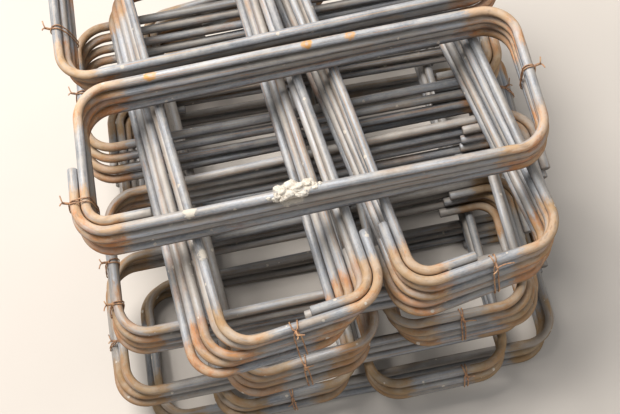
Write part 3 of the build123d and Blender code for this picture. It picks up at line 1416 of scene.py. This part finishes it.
@dataclass
class BundlePiece:
    """The visible stirrups of one bundle, each laid a little unevenly.

    In millimetres, bow is how far a bar bows, nudge how far a stirrup is shifted, and trim how
    much shorter its long and short legs may be. skew is how far it is turned, in degrees.
    """

    placed: Placed
    shape: StirrupShape
    seed: int
    bow: float = 0.9
    nudge: float = 2.6
    trim: Pair = (5.0, 3.0)
    skew: float = 0.24
    rng: np.random.Generator = field(init=False)
    plan: Track = field(init=False)
    tracks: list[Track] = field(init=False)
    bows: list[Bow] = field(init=False)
    turns: np.ndarray = field(init=False)
    shifts: np.ndarray = field(init=False)

    def __post_init__(self) -> None:
        """Picks how each stirrup lies, the same on every run, inside the plain bundle's box."""
        runs, bundle = self.placed.layer.runs, self.placed.bundle
        self.rng = np.random.default_rng(self.seed)
        self.plan = self.shape.track(runs, bundle.corner)
        trims = self.rng.uniform(0, 1, (bundle.count, 2)) * self.trim
        self.tracks = [self.shape.track(runs, bundle.corner, tuple(trim)) for trim in trims]
        self.bows = [
            Bow(self.bow, self.rng.uniform(0, FULL_TURN, (2, 2))) for _ in range(bundle.count)]
        self.turns = self.rng.uniform(-self.skew, self.skew, bundle.count)
        self.shifts = flat_in_space(self.rng.uniform(-self.nudge, self.nudge, (bundle.count, 2)))
        low, high = self.plain_box()
        for index in range(bundle.count):
            spots = self.placed.to_heap(self.line(index))
            over = np.maximum(spots.max(0) + self.bar.radius - high, 0)
            under = np.minimum(spots.min(0) - self.bar.radius - low, 0)
            self.shifts[index, :2] -= turned(over + under, -bundle.turn)[:2]

    @property
    def bar(self) -> BarSize:
        """Returns the bar's sizes."""
        return self.shape.bar

    def lay(self, points: np.ndarray, index: int) -> np.ndarray:
        """Returns points of one stirrup's plane in the bundle's frame, as that stirrup lies."""
        skewed = turned(points, self.turns[index])
        return self.placed.to_bundle(skewed, index, self.bar) + self.shifts[index]

    def line(self, index: int) -> np.ndarray:
        """Returns the bowed centre line of one stirrup, in millimetres, in the bundle's frame."""
        return self.lay(flat_in_space(self.bows[index](self.tracks[index].points)), index)

    def plain_box(self) -> tuple[np.ndarray, np.ndarray]:
        """Finds the box of the bundle as planned, with no bow.

        Returns:
            Its lowest and highest corners, in millimetres.
        """
        flat, placed = flat_in_space(self.plan.points), self.placed
        spots = np.concatenate([
            placed.to_heap(placed.to_bundle(flat, index, self.bar))
            for index in range(placed.bundle.count)])
        return spots.min(0) - self.bar.radius, spots.max(0) + self.bar.radius

    def build(self, middle: Vector, layers_under: int) -> bpy.types.Object:
        """Sweeps the bundle's bars.

        Args:
            middle: the heap's middle, in metres.
            layers_under: how many layers lie under the top one.

        Returns:
            The bundle's object.
        """
        sweep, tube, count = BarSweep(self.bar), Tube(), self.placed.bundle.count
        for index, (track, bow) in enumerate(zip(self.tracks, self.bows)):
            rings, values = sweep.rings(track, bow(track.points), self.rng)
            values["deep"] = np.full(rings.shape[:2], 1 - self.placed.level / layers_under)
            values["low"] = np.full(rings.shape[:2], 1 - index / (count - 1))
            tube.add(self.placed.to_heap(self.lay(rings, index)) * MM - np.array(middle), values)
        name = f"{self.placed.bundle.name}_stirrups"
        return link_object(name, tube.mesh(name))

    def dress(self, made: bpy.types.Object, steel: bpy.types.Material) -> None:
        """Coats the built bundle and lets it stand for its node.

        Args:
            made: the bundle's object.
            steel: the bar's material.
        """
        made.data.materials.append(steel)
        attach(made, "root")
        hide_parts(f"{self.placed.bundle.name}_bundle")


@dataclass
class TieFrame:
    """Where one tie's wire runs: its place along the leg and the bars that it holds."""

    along: float
    upright: bool
    outward: int
    spots: np.ndarray
    root: np.ndarray
    aim: np.ndarray


@dataclass
class TiePiece:
    """The visible ties of one bundle: wire wound twice round the legs and twisted off.

    A turn swells off the bars by up to slack, in a wave that turns by a radian over slack_wave,
    and wanders along them by waver, at wander_pace radians a turn. Over the share meet of its
    length, on each side of the twist, the two turns close up to the share closed of their spread,
    by the power opening. The twisted end droops by a share of its length and leans aside, both
    picked from a range, and is shortened where its strands part. tail_share and tail_most give
    the second loose end from the first. The loose ends part by the power parting and bend by
    their curls, in a wave of curl_wave radians.
    """

    bundle: BundlePiece
    wire: WireSize
    seed: int
    sides: int = 8
    loop_steps: int = 44
    hull_steps: int = 48
    strand_steps: int = 52
    slack: float = 0.45
    slack_wave: float = 6.5
    meet: float = 0.09
    closed: float = 0.35
    opening: float = 0.7
    waver: float = 0.3
    wander_pace: float = 11.0
    droop: Pair = (-0.25, 0.15)
    lean: Pair = (1.5, 3.5)
    tail_share: float = 0.6
    tail_most: float = 7.0
    strand_gap: float = 0.52
    shortened: float = 0.25
    parting: float = 1.4
    curls: Pair = (0.21, -0.105)
    curl_wave: float = 2.2
    rng: np.random.Generator = field(init=False)

    def __post_init__(self) -> None:
        """Starts the seeded source of the wire's unevenness."""
        self.rng = np.random.default_rng(self.seed)

    def _crossings(self, tie: Tie, along: float, upright: bool, outward: int) -> np.ndarray:
        """Finds where the bars of a leg run through the tie.

        Args:
            tie: the tie.
            along: its place along the leg.
            upright: whether the leg runs away from the front.
            outward: the sign of the leg's side.

        Returns:
            The bars' centres, as pairs of a place across the leg and a height.
        """
        reach = tie.spread / 2 + self.wire.diameter
        spots = []
        for index in range(self.bundle.placed.bundle.count):
            line = self.bundle.line(index)
            run, cross = (line[:, 1], line[:, 0]) if upright else (line[:, 0], line[:, 1])
            for plane in (along - reach, along, along + reach):
                before, after = run[:-1] - plane, run[1:] - plane
                for k in np.nonzero((before * after <= 0) & (before != after))[0]:
                    place = cross[k] - before[k] / (after[k] - before[k]) * (cross[k + 1] - cross[k])
                    if outward * place > 0:
                        spots.append((place, line[0, 2]))
        return np.array(spots)

    def _frame(self, tie: Tie) -> TieFrame:
        """Works out where a tie runs.

        Args:
            tie: the tie.

        Returns:
            Its place, its bars and the root of its twisted ends.
        """
        bar, layer = self.bundle.bar, self.bundle.placed.layer
        upright = tie.side in (Side.LEFT, Side.RIGHT)
        long_leg = upright is (layer.runs is Runs.AWAY)
        along = tie.along(bar, bar.halves[0 if long_leg else 1])
        outward = 1 if tie.side is Side.RIGHT else -1
        spots = self._crossings(tie, along, upright, outward)
        top = spots[spots[:, 1] == spots[:, 1].max()]
        outermost = top[(outward * top[:, 0]).argmax()]
        rise = math.radians(self.wire.twist_rise)
        aim = np.array([outward * math.cos(rise), math.sin(rise)])
        return TieFrame(along, upright, outward, spots, outermost + self.wire.off(bar) * aim, aim)

    @staticmethod
    def _chain(points: np.ndarray) -> list[np.ndarray]:
        """Finds one chain of the convex hull of points that are sorted along it.

        Args:
            points: the sorted points.

        Returns:
            The chain, less its last point.
        """
        out: list[np.ndarray] = []
        for point in points:
            while len(out) > 1:
                (ax, ay), (bx, by) = out[-1] - out[-2], point - out[-2]
                if ax * by - ay * bx > 0:
                    break
                out.pop()
            out.append(point)
        return out[:-1]

    def _loop(self, spots: np.ndarray) -> np.ndarray:
        """Lays one turn round the bars, a little slack between them.

        Args:
            spots: the bars' centres.

        Returns:
            The loop's points, in even steps.
        """
        turn = np.linspace(0, FULL_TURN, self.hull_steps, endpoint=False)
        reach = self.wire.off(self.bundle.bar) * np.stack([np.cos(turn), np.sin(turn)], -1)
        cloud = (spots[:, None] + reach).reshape(-1, 2)
        cloud = cloud[np.lexsort((cloud[:, 1], cloud[:, 0]))]
        hull = np.array(self._chain(cloud) + self._chain(cloud[::-1]))
        closed = np.concatenate([hull, hull[:1]])
        length = np.concatenate([[0], np.cumsum(np.linalg.norm(np.diff(closed, axis=0), axis=1))])
        share = np.linspace(0, length[-1], self.loop_steps, endpoint=False)
        loop = np.stack([np.interp(share, length, closed[:, axis]) for axis in range(2)], -1)
        swell = 0.5 + 0.5 * np.sin(share / self.slack_wave + self.rng.uniform(0, FULL_TURN))
        return loop + unit(loop - spots.mean(0)) * (self.slack * swell)[:, None]

    def _winding(self, tie: Tie, frame: TieFrame) -> np.ndarray:
        """Lays the wire's two turns: apart round the bars, together where they are twisted off.

        Args:
            tie: the tie.
            frame: where it runs.

        Returns:
            The wire's line: across, up, and along the leg, in millimetres.
        """
        turns = []
        for side in (-1, 1):
            loop = self._loop(frame.spots)
            loop = np.roll(loop, -int(np.linalg.norm(loop - frame.root, axis=1).argmin()), axis=0)
            share = np.linspace(0, 1, len(loop), endpoint=False)
            near_root = np.clip(np.minimum(share, 1 - share) / self.meet, 0, 1)
            opened = self.closed + (1 - self.closed) * near_root ** self.opening
            apart = side * tie.spread / 2 * opened
            wander = np.sin(share * self.wander_pace + self.rng.uniform(0, FULL_TURN))
            turns.append(np.concatenate([loop, (apart + self.waver * wander)[:, None]], 1))
        return np.concatenate([*turns, turns[0][:1]])

    def _strands(self, tie: Tie, frame: TieFrame) -> list[np.ndarray]:
        """Lays the twisted ends: two strands that wind round each other and then part.

        Args:
            tie: the tie.
            frame: where it runs.

        Returns:
            The two strands' lines, in the winding's terms.
        """
        wire = self.wire
        t = np.linspace(0, 1, self.strand_steps)
        parted = np.clip((t - wire.twist_share) / (1 - wire.twist_share), 0, 1)
        swing = FULL_TURN * wire.twist_turns * np.minimum(t / wire.twist_share, 1)
        side = np.array([-frame.aim[1], frame.aim[0]]) * frame.outward
        droop = self.rng.uniform(*self.droop)
        lean = self.rng.choice((-1, 1)) * self.rng.uniform(*self.lean)
        gap = wire.diameter * self.strand_gap
        out = t * wire.twist_length * (1 - self.shortened * parted)
        centre = frame.root + frame.aim * out[:, None]
        centre = centre + side * (droop * wire.twist_length * t ** 2)[:, None]
        strays = (tie.loose_end, self.tail_share * min(tie.loose_end, self.tail_most))
        strands = []
        for way, stray, phase, curl in zip((1, -1), strays, (0.0, math.pi), self.curls):
            bent = curl * stray * np.sin(parted * self.curl_wave)
            spun = side * (gap * np.cos(swing + phase) + bent)[:, None]
            apart = way * stray * parted ** self.parting
            along = gap * np.sin(swing + phase) + lean * t ** 2 + apart
            strands.append(np.concatenate([centre + spun, along[:, None]], 1))
        return strands

    def _rings(self, line: np.ndarray) -> np.ndarray:
        """Sweeps the wire's round section along a line.

        Args:
            line: the wire's centre line.

        Returns:
            The rings.
        """
        rings, side = [], np.array([0.0, 0.0, 1.0])
        turn = np.linspace(0, FULL_TURN, self.sides, endpoint=False)[:, None]
        for point, ahead in zip(line, unit(np.gradient(line, axis=0))):
            side = unit(side - ahead * (side @ ahead))
            section = np.cos(turn) * side + np.sin(turn) * np.cross(ahead, side)
            rings.append(point + self.wire.diameter / 2 * section)
        return np.array(rings)

    def build(self, middle: Vector, limits: np.ndarray) -> bpy.types.Object:
        """Winds the bundle's ties.

        Args:
            middle: the heap's middle, in metres.
            limits: the lowest and highest corners that the wire stays within, in metres.

        Returns:
            The ties' object.
        """
        placed, tube = self.bundle.placed, Tube()
        for tie in placed.bundle.ties:
            frame = self._frame(tie)
            for line in (self._winding(tie, frame), *self._strands(tie, frame)):
                rings = self._rings(line)
                across, up, along = rings[..., 0], rings[..., 1], rings[..., 2] + frame.along
                spot = np.stack([across, along, up] if frame.upright else [along, across, up], -1)
                spot = placed.to_heap(spot) * MM - np.array(middle)
                over = np.maximum(spot.max((0, 1)) - limits[1], 0)
                under = np.minimum(spot.min((0, 1)) - limits[0], 0)
                tube.add(spot - (over + under))
        name = f"{placed.bundle.name}_wire"
        return link_object(name, tube.mesh(name))

    def dress(self, made: bpy.types.Object, rust: bpy.types.Material) -> None:
        """Coats the wound ties and lets them stand for their node.

        Args:
            made: the ties' object.
            rust: the wire's material.
        """
        made.data.materials.append(rust)
        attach(made, "root")
        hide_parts(f"{self.bundle.placed.bundle.name}_ties")


@dataclass(frozen=True)
class Crumb:
    """A bit of dried mortar: its middle in the uncentred heap and half lengths, in millimetres."""

    centre: Triple
    size: Triple


@dataclass
class MortarLump:
    """A crumbly lump of dried mortar on the front leg of the top bundle, and loose bits.

    It stays below the ceiling, which is in metres, by its clearance. A crumb starts as a ball: rows
    is how many rings it has, around how many points are on each, and pole the angle from its axis,
    in radians, where the first and the last ring lie. Each row of waves makes it uneven,
    waves_each times: the wave's pace, in radians over a half length, and its height as a share of
    one. turn is how far a crumb may be turned.
    """

    ceiling: float
    clearance: float = 0.1
    seed: int = 11
    rows: int = 26
    around: int = 44
    waves: tuple[Pair, ...] = ((3.4, 0.12), (6.8, 0.09), (13.6, 0.05), (27.2, 0.03), (45.9, 0.018))
    waves_each: int = 3
    pole: float = 0.02
    turn: float = 25.0
    crumbs: tuple[Crumb, ...] = (
        Crumb((-41.0, -93.5, 314.0), (11.0, 7.5, 7.0)),
        Crumb((-27.0, -91.0, 314.5), (12.0, 8.0, 7.5)),
        Crumb((-14.0, -90.0, 315.0), (9.0, 6.5, 6.0)),
        Crumb((-50.0, -97.0, 315.0), (6.5, 5.0, 4.5)),
        Crumb((-34.0, -86.0, 309.0), (9.0, 5.5, 7.0)),
        Crumb((-21.0, -99.5, 317.5), (7.0, 4.0, 3.2)),
        Crumb((-6.0, -93.0, 317.0), (5.0, 4.5, 3.5)),
        Crumb((-43.0, -101.0, 315.5), (5.0, 3.5, 3.6)),
        Crumb((1.0, -92.0, 318.2), (2.6, 2.2, 1.8)),
        Crumb((-59.0, -99.0, 317.8), (3.0, 2.4, 2.0)),
    )

    def _ball(self) -> np.ndarray:
        """Makes a grid of directions over a ball.

        Returns:
            The directions, ring by ring.
        """
        polar = np.linspace(self.pole, math.pi - self.pole, self.rows)
        turn = np.linspace(0, FULL_TURN, self.around, endpoint=False)
        p, t = np.meshgrid(polar, turn, indexing="ij")
        return np.stack([np.cos(p), np.sin(p) * np.cos(t), np.sin(p) * np.sin(t)], -1)

    def build(self, middle: Vector) -> bpy.types.Object:
        """Makes the lump from its bits.

        Args:
            middle: the heap's middle, in metres.

        Returns:
            The lump's object.
        """
        tube, ball, rng = Tube(), self._ball(), np.random.default_rng(self.seed)
        for crumb in self.crumbs:
            uneven = np.ones(ball.shape[:2])
            for pace, height in self.waves:
                for _ in range(self.waves_each):
                    way = unit(rng.normal(size=3)) * pace
                    uneven += height * np.sin(ball @ way + rng.uniform(0, FULL_TURN))
            spots = ball * uneven[..., None] * crumb.size
            spots = turned(spots, rng.uniform(-self.turn, self.turn)) + crumb.centre
            spots = spots * MM - np.array(middle)
            spots[..., 2] = np.minimum(spots[..., 2], self.ceiling - self.clearance * MM)
            tube.add(spots[::-1])
        return link_object("mortar_lump", tube.mesh("mortar_lump"))

    def dress(self, made: bpy.types.Object, mortar: bpy.types.Material) -> None:
        """Coats the lump, which sits on the bars, and attaches it to the heap's root body.

        Args:
            made: the lump's object.
            mortar: the mortar's material.
        """
        made.data.materials.append(mortar)
        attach(made, "root")


@dataclass(frozen=True)
class CameraPlace:
    """Where the camera stands, in the uncentred heap and in millimetres and degrees.

    Its clipping range is in metres.
    """

    target: Triple = (-15.14, -108.21, 295.05)
    distance: float = 1138.07
    elevation: float = 66.46
    azimuth: float = -1.14
    roll: float = -11.7
    lens: float = 58.06
    sensor: float = 36.0
    clip: Pair = (0.05, 50.0)


@dataclass(frozen=True)
class Lamp:
    """A soft round lamp: its place and diameter in metres, and its power in watts."""

    name: str
    place: Triple
    size: float
    power: float


@dataclass
class Studio:
    """The floor, the soft light and the camera, in metres.

    The floor's top lies just below nought, where the heap stands.
    """

    middle: Vector
    view: CameraPlace = CameraPlace()
    floor_half: float = 6.0
    floor_top: float = -0.0005
    lamps: tuple[Lamp, ...] = (
        Lamp("soft_overhead", (-0.75, 0.85, 2.2), 1.5, 90.0),
        Lamp("soft_side", (1.6, -1.8, 1.5), 1.6, 12.0),
    )
    lamp_colour: Colour = (1.0, 0.985, 0.96)
    lamp_aim: Triple = (0.0, 0.0, 0.2)
    sky: Colour = (0.90, 0.95, 1.0)
    sky_strength: float = 0.33

    def floor(self, material: bpy.types.Material) -> bpy.types.Object:
        """Lays the floor.

        Args:
            material: the floor's material.

        Returns:
            The floor.
        """
        mesh = bpy.data.meshes.new("studio_floor")
        corners = [
            (x * self.floor_half, y * self.floor_half, self.floor_top)
            for x, y in ((-1, -1), (1, -1), (1, 1), (-1, 1))]
        mesh.from_pydata(corners, [], [(0, 1, 2, 3)])
        mesh.materials.append(material)
        return link_object("studio_floor", mesh)

    def lights(self) -> None:
        """Hangs the soft lamps under a pale sky."""
        for lamp in self.lamps:
            light = bpy.data.lights.new(lamp.name, "AREA")
            light.shape, light.size, light.energy = "DISK", lamp.size, lamp.power
            light.color = self.lamp_colour
            made = link_object(lamp.name, light)
            made.location = lamp.place
            aim = Vector(self.lamp_aim) - Vector(lamp.place)
            made.rotation_euler = aim.to_track_quat("-Z", "Y").to_euler()
        world = bpy.data.worlds.new("pale_sky")
        world.use_nodes = True
        background = world.node_tree.nodes["Background"].inputs
        background["Color"].default_value = (*self.sky, 1.0)
        background["Strength"].default_value = self.sky_strength
        bpy.context.scene.world = world

    def camera(self) -> bpy.types.Object:
        """Sets up the camera.

        Returns:
            The camera.
        """
        view = self.view
        rise, way, roll = (math.radians(v) for v in (view.elevation, view.azimuth, view.roll))
        level = math.cos(rise)
        ahead = Vector((math.sin(way) * level, math.cos(way) * level, -math.sin(rise)))
        right = ahead.cross(Vector((0, 0, 1))).normalized()
        up = right.cross(ahead)
        rolled_right = math.cos(roll) * right + math.sin(roll) * up
        rolled_up = -math.sin(roll) * right + math.cos(roll) * up
        data = bpy.data.cameras.new("camera")
        data.lens, data.sensor_width = view.lens, view.sensor
        data.clip_start, data.clip_end = view.clip
        made = link_object("camera", data)
        spot = Vector(view.target) * MM - self.middle - ahead * view.distance * MM
        axes = Matrix((rolled_right, rolled_up, -ahead)).transposed().to_4x4()
        made.matrix_world = Matrix.Translation(spot) @ axes
        bpy.context.scene.camera = made
        return made


def heap_middle(bundles: list[BundlePiece]) -> Vector:
    """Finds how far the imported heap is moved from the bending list's frame.

    Args:
        bundles: the bundles.

    Returns:
        The heap's middle in that frame, in metres.
    """
    offsets = []
    for bundle in bundles:
        low, high = bundle.plain_box()
        cad_low, cad_high = (np.array(v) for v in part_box(f"{bundle.placed.bundle.name}_bundle"))
        offsets.append((low + high) * MM / 2 - (cad_low + cad_high) / 2)
    middle = np.mean(offsets, axis=0)
    LOG.info("heap middle %s, spread %s", middle.round(5), np.ptp(offsets, axis=0).round(6))
    return Vector(middle)


def report(piece: bpy.types.Object) -> None:
    """Logs a finished piece's name and how many vertices it has."""
    LOG.info("%s: %d vertices", piece.name, len(piece.data.vertices))


def main() -> None:
    """Builds the looks in order and reports each piece."""
    logging.basicConfig(level=logging.INFO, format="%(name)s: %(message)s")
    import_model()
    cad_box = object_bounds()
    limits = np.array(cad_box, float)
    shape = StirrupShape(BarSize())
    bundles = [
        BundlePiece(placed, shape, BUNDLE_SEED + index)
        for index, placed in enumerate(place_bundles(HEAP, shape.bar))]
    middle = heap_middle(bundles)

    finishes, mortar = Finishes(SharedEffects(), middle), MortarFinish()
    steel, wire_rust = finishes.bar(BarFinish(), mortar), finishes.wire(WireFinish())
    for index, bundle in enumerate(bundles):
        stirrups = bundle.build(middle, len(HEAP) - 1)
        bundle.dress(stirrups, steel)
        report(stirrups)
        if bundle.placed.bundle.ties:
            ties = TiePiece(bundle, WireSize(), TIE_SEED + index)
            wires = ties.build(middle, limits)
            ties.dress(wires, wire_rust)
            report(wires)
    lump = MortarLump(limits[1, 2])
    crumbs = lump.build(middle)
    lump.dress(crumbs, finishes.mortar(mortar))
    report(crumbs)

    studio = Studio(middle)
    floor = studio.floor(finishes.floor(FloorFinish()))
    report(floor)
    studio.lights()
    studio.camera()
    bpy.context.scene.view_settings.view_transform = "Standard"
    LOG.info("heap dressed: %d bundles", len(bundles))


if __name__ == "__main__":
    main()
